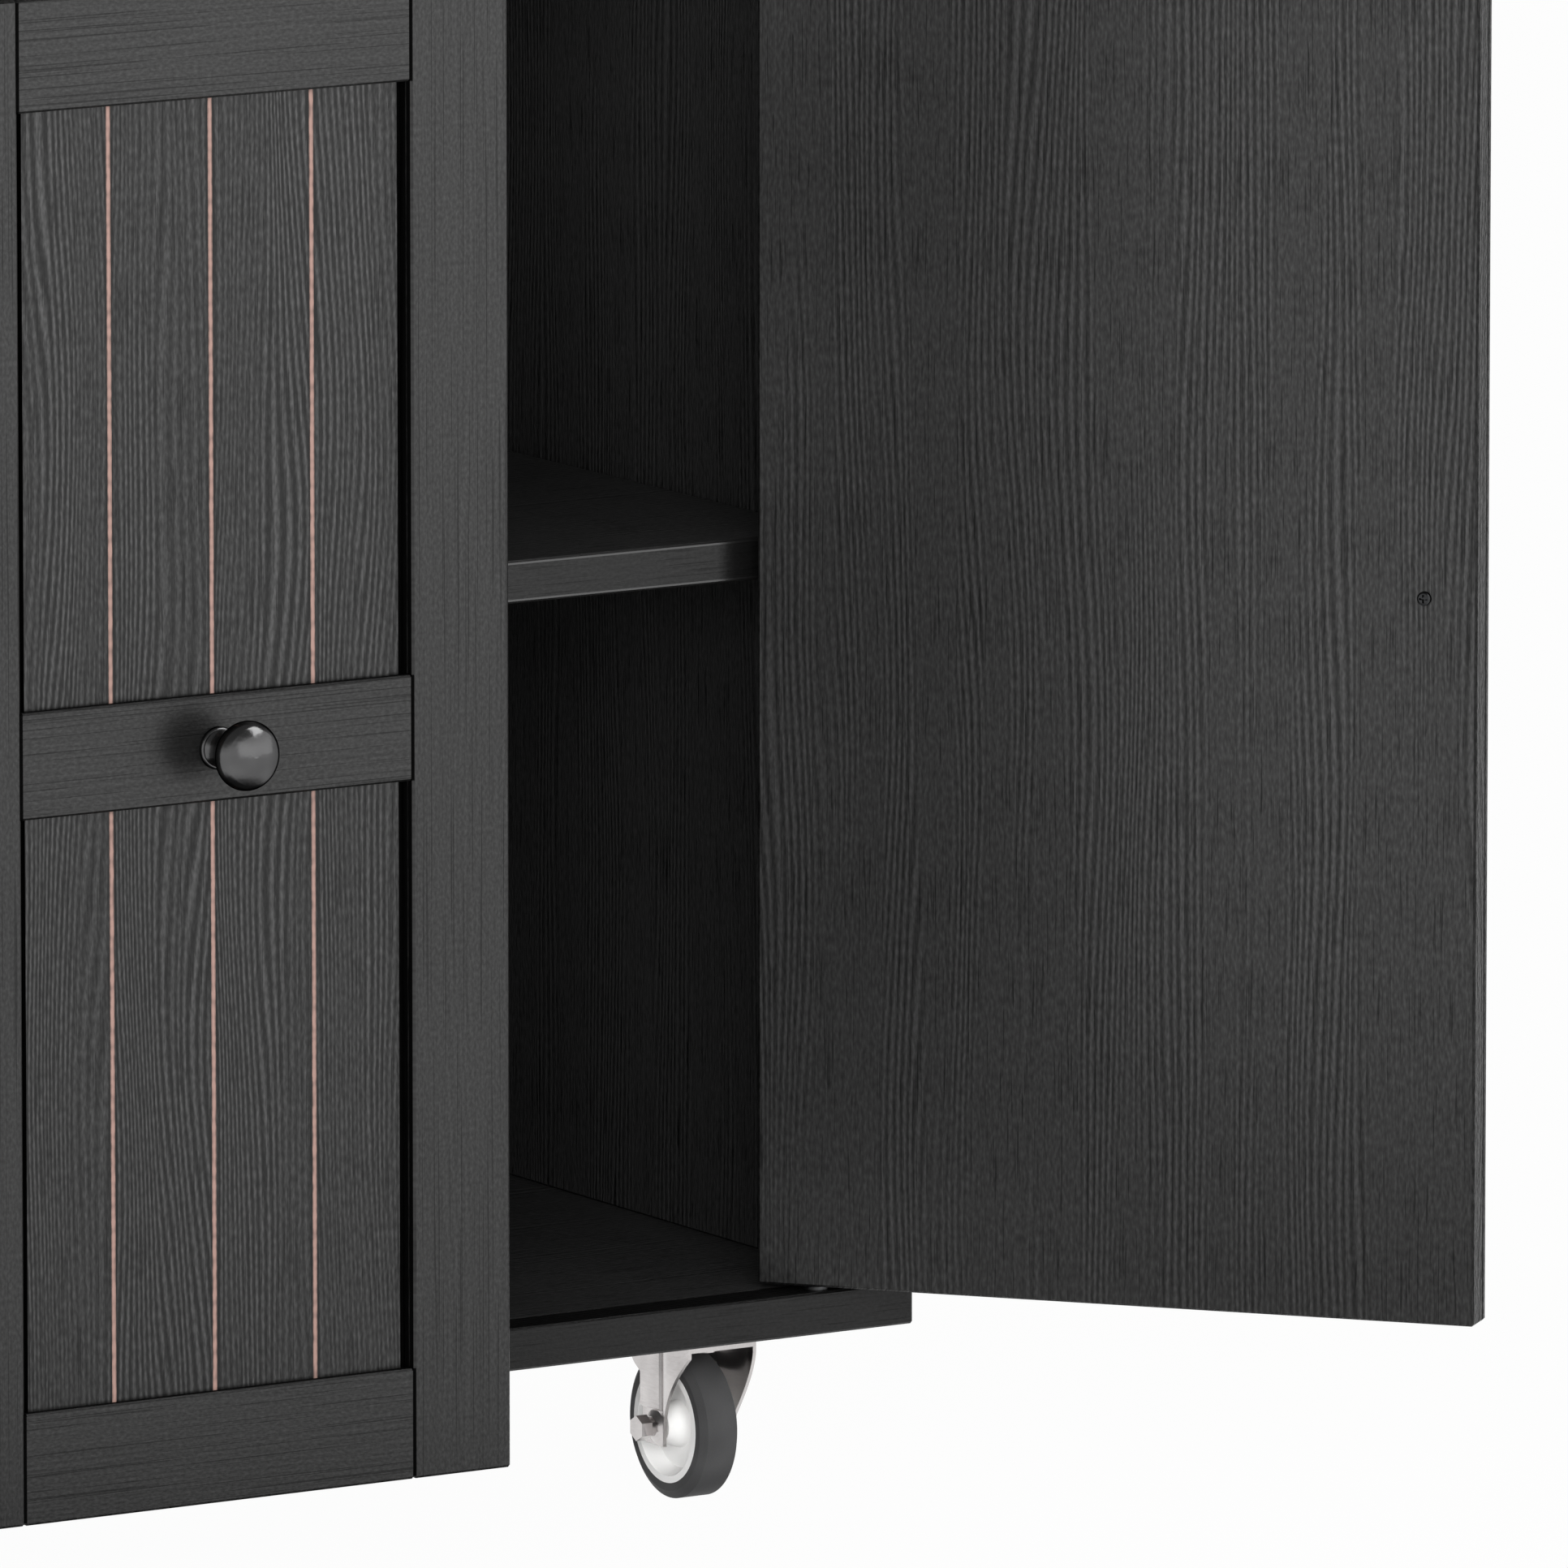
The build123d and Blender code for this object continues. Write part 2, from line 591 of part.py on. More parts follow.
def drawer(side):
    """One drawer, closed: framed front, box, knob and runners."""
    low, high = BOARD / 2, SIDE_IN
    front_x = mirrored(side, low + REVEAL, high - REVEAL)
    middle = (front_x[0] + front_x[1]) / 2
    rails = drawer_rails()
    box_x = mirrored(side, low + RUNNER_GAP, high - RUNNER_GAP)
    inner = (box_x[0] + BOX_BOARD, box_x[1] - BOX_BOARD)
    along = (BOX_FRONT, BOX_BACK)
    height = (DRAWER_BOX_LOW, DRAWER_BOX_LOW + DRAWER_BOX_HEIGHT)
    floor_z = (DRAWER_BOX_LOW + BOX_FLOOR_RISE, DRAWER_BOX_LOW + BOX_FLOOR_RISE + BOX_FLOOR)
    floor_y = (BOX_FRONT, BOX_BACK - BOX_BOARD + BOX_GROOVE)
    floor = block((inner[0] - BOX_GROOVE, inner[1] + BOX_GROOVE), floor_y, floor_z)
    walls = [
        board((box_x[0], inner[0]), along, height),
        board((inner[1], box_x[1]), along, height),
        board(inner, (BOX_BACK - BOX_BOARD, BOX_BACK), height),
    ]
    return {
        "front": [knob_hole(backing(front_x, rails), middle, DRAWER_MIDDLE)] + strips(front_x, rails),
        "box": [wall - floor for wall in walls] + [floor],
        "knob": knob(middle, FRONT + STRIP_THICK, DRAWER_MIDDLE),
        "runners": [
            moving_runner(side * SIDE_IN, -side, DRAWER_RUNNER_Z),
            moving_runner(side * BOARD / 2, side, DRAWER_RUNNER_Z),
        ],
    }


def slid(pieces, distance):
    """Draw pieces out towards the front."""
    return {name: [Pos(0, -distance, 0) * solid for solid in solids] for name, solids in pieces.items()}


# Castors, each made about its swivel axis, with the wheel trailing towards the back

def castor_plate(x, y):
    """Screwed plate with a pressed race and a riveted kingpin, and its four wood screws."""
    plate = extrude(RectangleRounded(PLATE_LENGTH, PLATE_WIDTH, PLATE_CORNER), PLATE_THICK)
    plate = Pos(x, y, PLATE_LOW) * plate
    plate += rod_z(x, y, (RACE_LOW, PLATE_LOW), RACE_RADIUS)
    head_top = CROWN_LOW - KINGPIN_GAP
    plate += rod_z(x, y, (head_top - KINGPIN_HEAD, PLATE_LOW), KINGPIN_RADIUS)
    plate += rod_z(x, y, (head_top - KINGPIN_HEAD, head_top), KINGPIN_HEAD_RADIUS)
    screws = []
    for hole_x, hole_y in plate_holes(x, y):
        shank = rod_z(hole_x, hole_y, (PLATE_LOW, BASE_LOW + WOOD_SCREW_LENGTH), WOOD_SCREW_RADIUS)
        head = rod_z(hole_x, hole_y, (PLATE_LOW - WOOD_SCREW_HEAD, PLATE_LOW), WOOD_SCREW_HEAD_RADIUS)
        plate -= shank
        screws.append(shank + head)
    return [plate] + screws


def fork():
    """Pressed steel fork: a flat crown and two bowed legs, each with a raised rib and a boss for the axle."""
    low = AXLE_Z - TAB_BELOW_AXLE
    body = extrude(Pos(0, 0, low) * fork_plan(TAB_OUT), CROWN_TOP - low)
    body -= extrude(Pos(0, 0, low) * fork_plan(TAB_IN), CROWN_LOW - low)
    body &= fork_silhouette(low)
    for side in SIDES.values():
        body += fork_rib(side)
        boss = Rot(0, side * 90, 0) * Cone(BOSS_RADIUS, BOSS_TOP_RADIUS, BOSS_RISE)
        body += Pos(side * (TAB_OUT + BOSS_RISE / 2), CASTOR_TRAIL, AXLE_Z) * boss
    body -= rod_x((-BOSS_OUT, BOSS_OUT), CASTOR_TRAIL, AXLE_Z, AXLE_RADIUS)
    return body - rod_z(0, 0, (CROWN_LOW, CROWN_TOP), KINGPIN_RADIUS + RUNNING_CLEARANCE)


def fork_plan(half):
    """Plan of the fork: straight beside the ribs, bowed out at the front flanges."""
    back = CASTOR_TRAIL + FORK_BACK
    knee = CASTOR_TRAIL - FORK_KNEE
    front = CASTOR_TRAIL - FORK_FRONT
    row = [(half, knee), (half + FORK_BULGE, (knee + front) / 2), (half + FORK_BULGE / 2, front)]
    with BuildSketch() as plan:
        with BuildLine():
            right = Spline(*row)
            left = Spline(*[(-x, y) for x, y in row])
            Polyline(right @ 0, (half, back), (-half, back), left @ 0)
            Line(right @ 1, left @ 1)
        make_face()
    return plan.sketch


def fork_silhouette(low):
    """Side view of the fork's legs and crown: a rounded foot at the axle, swept out to the crown."""
    axle_y = CASTOR_TRAIL
    lip = CROWN_LOW - FORK_CROWN
    hip = AXLE_Z + FORK_HIP_RISE
    waist = (AXLE_Z + lip) / 2
    foot_back = (axle_y + TAB_HALF_WIDTH, low)
    foot_front = (axle_y - TAB_HALF_WIDTH, low)
    with BuildSketch(Plane.YZ) as view:
        with BuildLine():
            back = Spline(
                (axle_y + TAB_HALF_WIDTH, waist),
                (axle_y + (TAB_HALF_WIDTH + FORK_BACK) / 2, (waist + lip) / 2),
                (axle_y + FORK_BACK, lip - FORK_CROWN),
                tangents=((0, 1), (1, 0)),
            )
            front = Spline(
                (axle_y - FORK_FRONT, lip),
                (axle_y - (FORK_FRONT + FORK_HIP) / 2 + FORK_HOLLOW, (lip + hip) / 2),
                (axle_y - FORK_HIP, hip),
            )
            Polyline(back @ 1, (axle_y + FORK_BACK, CROWN_TOP), (axle_y - FORK_FRONT, CROWN_TOP), front @ 0)
            Polyline(front @ 1, foot_front, foot_back, back @ 0)
        make_face()
        feet = view.vertices().group_by(Axis.Y)[0]
        fillet(feet, TAB_CORNER)
    return extrude(view.sketch, FORK_HALF_WIDTH + FORK_BULGE, both=True)


def fork_rib(side):
    """Stiffening rib pressed out of a fork leg, from above its boss to the crown."""
    y = (CASTOR_TRAIL - FORK_KNEE, CASTOR_TRAIL + TAB_HALF_WIDTH)
    rib = block(mirrored(side, TAB_OUT, FORK_HALF_WIDTH), y, (AXLE_Z + RIB_ABOVE_AXLE, CROWN_TOP))
    face = rib.faces().sort_by(Axis.X)[-1 if side > 0 else 0]
    sides = face.edges().sort_by(Axis.Z)[:-1]
    return chamfer(sides, RIB_RISE / 2)


def axle():
    """Axle bolt with a collar and a hexagon head on one side and a nut on the other."""
    y = CASTOR_TRAIL
    collar_x = -BOSS_OUT - BOLT_COLLAR
    hexagon = Rot(0, 90, 0) * RegularPolygon(HEX_ACROSS / 2, 6, major_radius=False)
    bolt = rod_x((collar_x, BOSS_OUT + NUT_HEIGHT + BOLT_END), y, AXLE_Z, AXLE_RADIUS)
    bolt += rod_x((collar_x, -BOSS_OUT), y, AXLE_Z, BOLT_COLLAR_RADIUS)
    bolt += Pos(collar_x - BOLT_HEAD, y, AXLE_Z) * extrude(hexagon, BOLT_HEAD)
    nut = Pos(BOSS_OUT, y, AXLE_Z) * extrude(hexagon, NUT_HEIGHT)
    return [bolt, nut - bolt]


def turned_about_axle(half_row):
    """Solid of revolution about the axle, from the right half of its profile in (x, radius)."""
    left = [(-x, r) for x, r in reversed(half_row)]
    face = Plane.XZ * outline(half_row + left)
    return Pos(0, CASTOR_TRAIL, AXLE_Z) * revolve(face, Axis.X)


def wheel_core():
    """Dished plastic wheel centre with a rim and a hub."""
    bore = AXLE_RADIUS + RUNNING_CLEARANCE
    hub_end = TAB_IN - HUB_PLAY
    rim = CORE_RADIUS - CORE_RIM
    return turned_about_axle([
        (hub_end, bore),
        (hub_end, HUB_RADIUS),
        (CORE_WEB_HALF, HUB_RADIUS + CORE_RIM),
        (CORE_WEB_HALF, rim - CORE_RIM),
        (WHEEL_HALF_WIDTH, rim),
        (WHEEL_HALF_WIDTH, CORE_RADIUS),
    ])


def tyre():
    """Tyre with bevelled shoulders, moulded on the core."""
    return turned_about_axle([
        (WHEEL_HALF_WIDTH, CORE_RADIUS),
        (WHEEL_HALF_WIDTH, SHOULDER_RADIUS),
        (TREAD_HALF_WIDTH, WHEEL_RADIUS),
    ])


def castor():
    """Moving pieces of one castor."""
    return {"fork": [fork()], "axle": axle(), "wheel": [wheel_core()], "tyre": [tyre()]}


def assembly():
    """All nodes of the cart at rest."""
    nodes = cabinet()
    opened = {"left": 0, "right": DOOR_OPEN}
    for name, side in SIDES.items():
        for piece, solids in swung(door(side), side, opened[name]).items():
            nodes[f"{name}_door_{piece}"] = solids
        for piece, solids in drawer(side).items():
            nodes[f"{name}_drawer_{piece}"] = solids
    for piece, solids in slid(pullout(), PULLOUT_OUT).items():
        nodes[f"pullout_{piece}"] = solids
    one = castor()
    for name, x, y in castor_places():
        for piece, solids in one.items():
            nodes[f"{name}_castor_{piece}"] = [Pos(x, y, 0) * solid for solid in solids]
    return nodes


os.makedirs("parts", exist_ok=True)
for node, solids in assembly().items():
    export_step(Compound(label=node, children=solids), f"parts/{node}.step")
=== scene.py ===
import json
from math import pi, radians

import bpy
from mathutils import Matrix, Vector


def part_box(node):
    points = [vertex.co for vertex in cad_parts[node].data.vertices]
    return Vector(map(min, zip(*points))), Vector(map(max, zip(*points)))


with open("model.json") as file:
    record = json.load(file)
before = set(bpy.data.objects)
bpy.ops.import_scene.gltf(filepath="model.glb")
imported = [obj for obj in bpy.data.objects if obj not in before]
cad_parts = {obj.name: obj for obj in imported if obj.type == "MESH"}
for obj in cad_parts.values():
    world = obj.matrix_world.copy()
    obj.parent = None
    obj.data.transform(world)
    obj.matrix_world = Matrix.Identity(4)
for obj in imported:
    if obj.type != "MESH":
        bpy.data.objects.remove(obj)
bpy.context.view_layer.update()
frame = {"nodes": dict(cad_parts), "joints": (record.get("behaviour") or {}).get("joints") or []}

# Axes of the cart: to the right, to the back, up
X, Y, Z = range(3)

# Sizes that the finishes follow, in millimetres
STILE_WIDTH = 40.0
RAIL_WIDTH = 40.0
MIDDLE_RAIL_WIDTH = 38.0
STRIP_THICK = 4.0
FRONT_THICK = 16.0
PLANK_WIDTH = 41.3
LINE_WIDTH = 1.8
EASED_EDGE = 0.9
ARRIS = 1.5
SCREW_SUNK = 1.0
STAVE_WIDTH = 38.0
STAVE_LENGTH = 310.0
SIDE_GLUE_LINE = 0.342
END_GLUE_LINE = 0.31
SLACK = 0.05

# Viewpoint: metres, degrees, and the lens and its sensor in millimetres
EYE = (-3.9406, -7.1089, 1.6531)
EYE_YAW = 32.047
EYE_PITCH = -9.610
LENS = 512.5
SENSOR_WIDTH = 36.0
FAR_CLIP = 60.0

# Studio: light levels, lengths in metres
ROOM_LIGHT = 0.55
ROOM_SHINE = 0.88
CEILING_DIM = 0.8
CEILING_RISE = (0.10, 0.60)
FLOOR_RADIUS = 9.0
FLOOR_SIDES = 96
FLOOR_GLOW = 0.97
LAMP_AIM = (0.0, -0.44, 0.38)
FILL_AIM = (0.2, -0.2, 0.25)

# The floor as shiny pieces mirror it: a painted shadow near the fronts, and painted light palest on the
# right; in millimetres
FRONT_MIDDLE = (35.0, -440.0, 0.0)
SHADOW_REACH = (235.0, 470.0)
BEHIND_FRONT = (-450.0, -150.0)
LEFT_TO_RIGHT = (-700.0, 100.0)

# Pressed grain: its rings, the lengths and widths of its spots in millimetres,
# and the noise levels between which its bands and pores set in
RING_PITCH = 2.6
RING_DRIFT = 7.5
PLANK_DRIFT = 5.0
RING_WANDER = 0.9
RING_FADE = 0.88
PLANK_FADE = 0.36
LEAN_LENGTH, LEAN_WIDTH = 300.0, 46.0
WANDER_LENGTH, WANDER_WIDTH = 170.0, 7.0
BAND_LENGTH, BAND_WIDTH = 420.0, 19.0
BEAD_LENGTH, BEAD_WIDTH = 3.2, 1.0
FIBRE_LENGTH, FIBRE_WIDTH = 34.0, 0.8
STRIP_BEAD_LENGTH = 1.8
STRIP_FIBRE_LENGTH = 130.0
BAND_LEVEL = (0.42, 0.64)
PORE_LEVEL = (0.10, 0.24)

# How far the grain moves on along and across it by plank and by row, and across it by stave
PLANK_STEP = (411.0, 173.0)
ROW_STEP = (53.0, 97.0)
STAVE_STEP = 31.0

# Staves: how far a row is staggered, in staves, and how far the tone moves on by row and by stave
STAVE_STAGGER = 0.37
TONE_STEP = (3.7, 5.3)

# Boards: how much a face looks along its axis, and the gloss of each kind
FACE_LEVEL = 0.9
BOARD_GLOSS = 0.62
SHELF_GLOSS = 0.68
# Painted shade: the plinth rail is less glossy, so darker, than the other boards
PLINTH_SHADE_GLOSS = 0.38

# Spots of the other finishes, in millimetres
SPECK_LENGTH, SPECK_WIDTH = 3.2, 1.6
STREAK_LENGTH, STREAK_WIDTH = 8.0, 0.35
COPPER_BEAD = 3.0
KNOB_SKIN = 1.3
KNOB_CLOUD = 7.0
METAL_CLOUD = 9.0
MOULDED_CLOUD = 11.0

# Colours, linear
GRAIN_VALLEY = (0.0020, 0.0020, 0.0020, 1.0)
GRAIN_RIDGE = (0.009, 0.0089, 0.0088, 1.0)
INSIDE_RIDGE = (0.022, 0.0219, 0.0218, 1.0)
BOARD_RIDGE = (0.045, 0.0449, 0.0448, 1.0)
SHELF_RIDGE = (0.075, 0.0748, 0.0746, 1.0)
EDGE_VALLEY = (0.003, 0.003, 0.003, 1.0)
EDGE_RIDGE = (0.015, 0.0149, 0.0148, 1.0)
# Painted shade: black for the walls of the recesses and grooves of the fronts, and for their joints
JOINT_AND_SHADE_BLACK = (0.0006, 0.0006, 0.0006, 1.0)
# The dull copper colour is also the painted shade at the edges of each line
COPPER_DULL_AND_SHADE = (0.080, 0.053, 0.046, 1.0)
COPPER_BRIGHT = (0.29, 0.181, 0.154, 1.0)
PLATED_DARK = (0.098, 0.098, 0.099, 1.0)
PLATED_LIGHT = (0.130, 0.130, 0.131, 1.0)
PLATED_RIM = (0.15, 0.15, 0.15, 1.0)
BLUED_DARK = (0.045, 0.046, 0.048, 1.0)
BLUED_LIGHT = (0.120, 0.121, 0.124, 1.0)
AGED_DULL = (0.10, 0.101, 0.103, 1.0)
AGED_BRIGHT = (0.22, 0.222, 0.225, 1.0)
ZINC_DULL = (0.40, 0.405, 0.41, 1.0)
ZINC_BRIGHT = (0.62, 0.625, 0.63, 1.0)
CHROME_DULL = (0.45, 0.430, 0.425, 1.0)
CHROME_BRIGHT = (0.69, 0.663, 0.656, 1.0)
NYLON_SHADE = (0.89, 0.885, 0.875, 1.0)
NYLON_LIGHT = (0.97, 0.967, 0.958, 1.0)
TYRE_DARK = (0.040, 0.040, 0.041, 1.0)
TYRE_LIGHT = (0.072, 0.072, 0.073, 1.0)
STAVE_DARK = (0.150, 0.078, 0.038, 1.0)
STAVE_PALE = (0.330, 0.190, 0.098, 1.0)
PORE_BROWN = (0.070, 0.034, 0.017, 1.0)
FLOOR_WHITE = (0.66, 0.66, 0.66, 1.0)
# The floor as shiny pieces mirror it: a painted shadow near the fronts, and painted light from left to
# right
FLOOR_SHADOW_NEAR = (0.05, 0.05, 0.05, 1.0)
FLOOR_SHINE_LEFT = (0.84, 0.84, 0.84, 1.0)
FLOOR_SHINE_RIGHT = (0.96, 0.96, 0.96, 1.0)
STUDIO_WHITE = (1.0, 1.0, 1.0, 1.0)


class Wire:
    """A node's output that takes part in sums."""

    def __init__(self, finish, socket):
        self.finish = finish
        self.socket = socket

    def maths(self, operation, *terms):
        return self.finish.node("ShaderNodeMath", {"operation": operation}, dict(enumerate(terms)))

    def __add__(self, other):
        return self.maths("ADD", self, other)

    def __radd__(self, other):
        return self.maths("ADD", other, self)

    def __sub__(self, other):
        return self.maths("SUBTRACT", self, other)

    def __rsub__(self, other):
        return self.maths("SUBTRACT", other, self)

    def __mul__(self, other):
        return self.maths("MULTIPLY", self, other)

    def __rmul__(self, other):
        return self.maths("MULTIPLY", other, self)

    def __truediv__(self, other):
        return self.maths("DIVIDE", self, other)

    def __abs__(self):
        return self.maths("ABSOLUTE", self)

    def __gt__(self, other):
        return self.maths("GREATER_THAN", self, other)

    def __lt__(self, other):
        return self.maths("LESS_THAN", self, other)

    def sine(self):
        return self.maths("SINE", self)

    def floor(self):
        return self.maths("FLOOR", self)

    def limited(self):
        return self.finish.node("ShaderNodeClamp", {}, {"Value": self})

    def between(self, low, high):
        """0 below low, 1 above high, and a soft step from one to the other."""
        return self.finish.node("ShaderNodeMapRange", {"interpolation_type": "SMOOTHSTEP"},
                                {"Value": self, "From Min": low, "From Max": high})


class Nodes:
    """A node tree in the making."""

    def __init__(self, tree):
        self.tree = tree

    def node(self, kind, settings, sockets, output=0):
        """Adds a node, its settings first and then the values or wires of its sockets."""
        node = self.tree.nodes.new(kind)
        for name, value in settings.items():
            setattr(node, name, value)
        for key, value in sockets.items():
            self.feed(node.inputs[key], value)
        return Wire(self, node.outputs[output])

    def feed(self, socket, value):
        """Links a wire to a socket, or sets the socket's own value."""
        if isinstance(value, Wire):
            self.tree.links.new(value.socket, socket)
        else:
            socket.default_value = value

    def blend(self, factor, one, other):
        """One number where the factor is 0, and the other where it is 1."""
        return self.node("ShaderNodeMix", {}, {0: factor, 2: one, 3: other})

    def axes(self, point):
        """The three parts of a point."""
        split = self.tree.nodes.new("ShaderNodeSeparateXYZ")
        self.feed(split.inputs[0], point)
        return [Wire(self, socket) for socket in split.outputs]

    def ray(self, kind):
        """1 for rays of one kind, and 0 for the rest."""
        return self.node("ShaderNodeLightPath", {}, {}, f"Is {kind} Ray")

    def sent_on(self):
        """1 for rays that a mirror or glass sends on."""
        return (self.ray("Glossy") + self.ray("Transmission")).limited()


class Finish(Nodes):
    """A material in the making: its nodes and the surface that they feed."""

    def __init__(self, name):
        self.material = bpy.data.materials.new(name)
        self.material.use_nodes = True
        super().__init__(self.material.node_tree)
        self.principled = self.tree.nodes["Principled BSDF"]

    def surface(self, **sockets):
        """Feeds the Principled sockets, named with underscores for spaces."""
        for name, value in sockets.items():
            self.feed(self.principled.inputs[name.replace("_", " ")], value)
        return self.material

    def place(self):
        """The point on the piece, in millimetres of the cart's own frame at rest."""
        point = self.node("ShaderNodeTexCoord", {}, {}, "Object")
        return self.node("ShaderNodeVectorMath", {"operation": "SCALE"}, {0: point, "Scale": 1000.0})

    def noise(self, x, y, z=None, detail=0.0):
        """Smooth noise from about -0.5 to 0.5, at a point counted in its own spots."""
        spot = self.node("ShaderNodeCombineXYZ", {}, {0: x, 1: y, 2: z or 0.0})
        return self.node("ShaderNodeTexNoise", {"noise_dimensions": "3D" if z else "2D"},
                         {"Vector": spot, "Scale": 1.0, "Detail": detail}) - 0.5

    def colour(self, factor, one, other):
        """One colour where the factor is 0, and the other where it is 1."""
        return self.node("ShaderNodeMix", {"data_type": "RGBA"}, {0: factor, 6: one, 7: other}, 2)

    def relief(self, height, depth, strength=1.0):
        """The normal of a surface embossed to a depth in metres, where height goes from 0 to 1."""
        return self.node("ShaderNodeBump", {}, {"Height": height, "Distance": depth, "Strength": strength})


def pressed_grain(finish, along, across, rings, fibres, reach=FIBRE_LENGTH, bead=BEAD_LENGTH,
                  drift=RING_DRIFT, fade=RING_FADE):
    """Pressed wood grain, about -1 to 1: long rings that lean and fade, fibres, and beads on both.

    Each noise starts at a place of its own, so that no two run alike.
    """
    lean = finish.noise(along / LEAN_LENGTH, across / LEAN_WIDTH, detail=1.0) * drift
    wander = finish.noise(along / WANDER_LENGTH, across / WANDER_WIDTH + 11.0) * RING_WANDER
    lines = ((across / RING_PITCH + lean + wander) * (2.0 * pi)).sine()
    bands = finish.noise(along / BAND_LENGTH + 31.0, across / BAND_WIDTH)
    absence = (0.5 - bands).between(*BAND_LEVEL)
    beads = finish.noise(along / bead, across / BEAD_WIDTH + 57.0, detail=1.0)
    threads = finish.noise(along / reach, across / FIBRE_WIDTH + 83.0, detail=1.0)
    pores = threads.between(*PORE_LEVEL)
    figure = lines * (1.0 - absence * fade) + beads * 0.9
    return rings * figure + fibres * (threads * 1.2 + beads * 2.6 - pores * 2.2)


def laminate(finish, height, ridge=GRAIN_RIDGE, gloss=1.0, edge=0.0, shade_and_joints=0.0):
    """Black embossed laminate: dark in its pores, glossier on its ridges, matt black as painted shade in
    its recesses and black on its joints.
    """
    level = (0.5 + height * 0.5).limited()
    paint = finish.colour(level, GRAIN_VALLEY, ridge)
    paint = finish.colour(edge, paint, finish.colour(level, EDGE_VALLEY, EDGE_RIDGE))
    return finish.surface(
        Base_Color=finish.colour(shade_and_joints, paint, JOINT_AND_SHADE_BLACK),
        Roughness=(0.40 - level * 0.10 + shade_and_joints * 0.5).limited(),
        Specular_IOR_Level=0.12,
        Coat_Weight=((0.22 + level * level * 0.75) * gloss - shade_and_joints * 2.0).limited(),
        Coat_Roughness=0.29,
        Coat_IOR=1.9,
        Normal=finish.relief(level, depth=0.0004),
    )


def board_finish(name, grain_axis, face_axis, ridge=BOARD_RIDGE, gloss=BOARD_GLOSS, like=None):
    """Laminated boards: grain along one axis of the cart on their faces, a plain fine band on their edges.

    Where a board is named that they are all level with, its arrises get a painted highlight: paler and
    glossier.
    """
    finish = Finish(name)
    parts = finish.axes(finish.place())
    depth = parts[face_axis]
    along = parts.pop(grain_axis)
    facing = finish.axes(finish.node("ShaderNodeTexCoord", {}, {}, "Normal"))
    edge = abs(facing[face_axis]) < FACE_LEVEL
    rings = 0.40 - edge * 0.34
    fibres = 0.36 - edge * 0.14
    bead = finish.blend(edge, BEAD_LENGTH, STRIP_BEAD_LENGTH)
    height = pressed_grain(finish, along, parts[0] + parts[1], rings, fibres, bead=bead)
    paint = finish.colour(edge, ridge, GRAIN_RIDGE)
    if like:
        low, high = (1000.0 * corner[face_axis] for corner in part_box(like))
        # Painted highlight: the arrises of the shelves are made paler and glossier
        arris_highlight = edge * (abs(depth - 0.5 * (low + high)) > 0.5 * (high - low) - ARRIS)
        height = height + arris_highlight * 0.9
        gloss = gloss + arris_highlight * 1.2
    return laminate(finish, height, paint, gloss)


class Front:
    """A door, a drawer's front or the pull-out's front, and where its outer face is at rest."""

    def __init__(self, name, measured_node):
        low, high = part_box(measured_node)
        self.name = name
        self.middle = [500.0 * (start + end) for start, end in zip(low, high)]
        self.half_width = 500.0 * (high[X] - low[X])
        self.half_height = 500.0 * (high[Z] - low[Z])
        self.face = 1000.0 * low[Y]
        lines = round((2.0 * self.half_width - 2.0 * STILE_WIDTH) / PLANK_WIDTH) - 1
        self.plank_shift = 0.0 if lines % 2 else 0.5
        self.turn = 0.0
        self.pivot = (0.0, 0.0, 0.0)

    def spots(self, finish):
        """Across, into and up the front, in millimetres from the middle of its outer face."""
        point = finish.place()
        if self.turn:
            point = finish.node("ShaderNodeVectorRotate", {"rotation_type": "Z_AXIS"},
                                {"Vector": point, "Center": self.pivot, "Angle": -self.turn})
        x, y, z = finish.axes(point)
        return x - self.middle[X], y - self.face, z - self.middle[Z]

    def from_line(self, x):
        """Distance across the front from the nearest joint between planks."""
        count = x / PLANK_WIDTH + self.plank_shift + 0.5
        return abs(count - count.floor() - 0.5) * PLANK_WIDTH


def open_twin(name, measured_node, joint):
    """The mirror image of a shut door, standing open at the lower end of its hinge's range."""
    hinge = next(entry for entry in frame["joints"] if entry["name"] == joint)
    door = Front(name, measured_node)
    door.middle[X] = -door.middle[X]
    door.turn = -radians(hinge["range_deg"][0])
    door.pivot = [1000.0 * part for part in hinge["pos_m"]]
    return door


def edge_specks(finish, x, y, z):
    """Small light and dark specks of a cut and banded edge, -1 to 1."""
    return finish.noise(z / SPECK_LENGTH, (x + y) / SPECK_WIDTH, detail=2.0) * 3.2


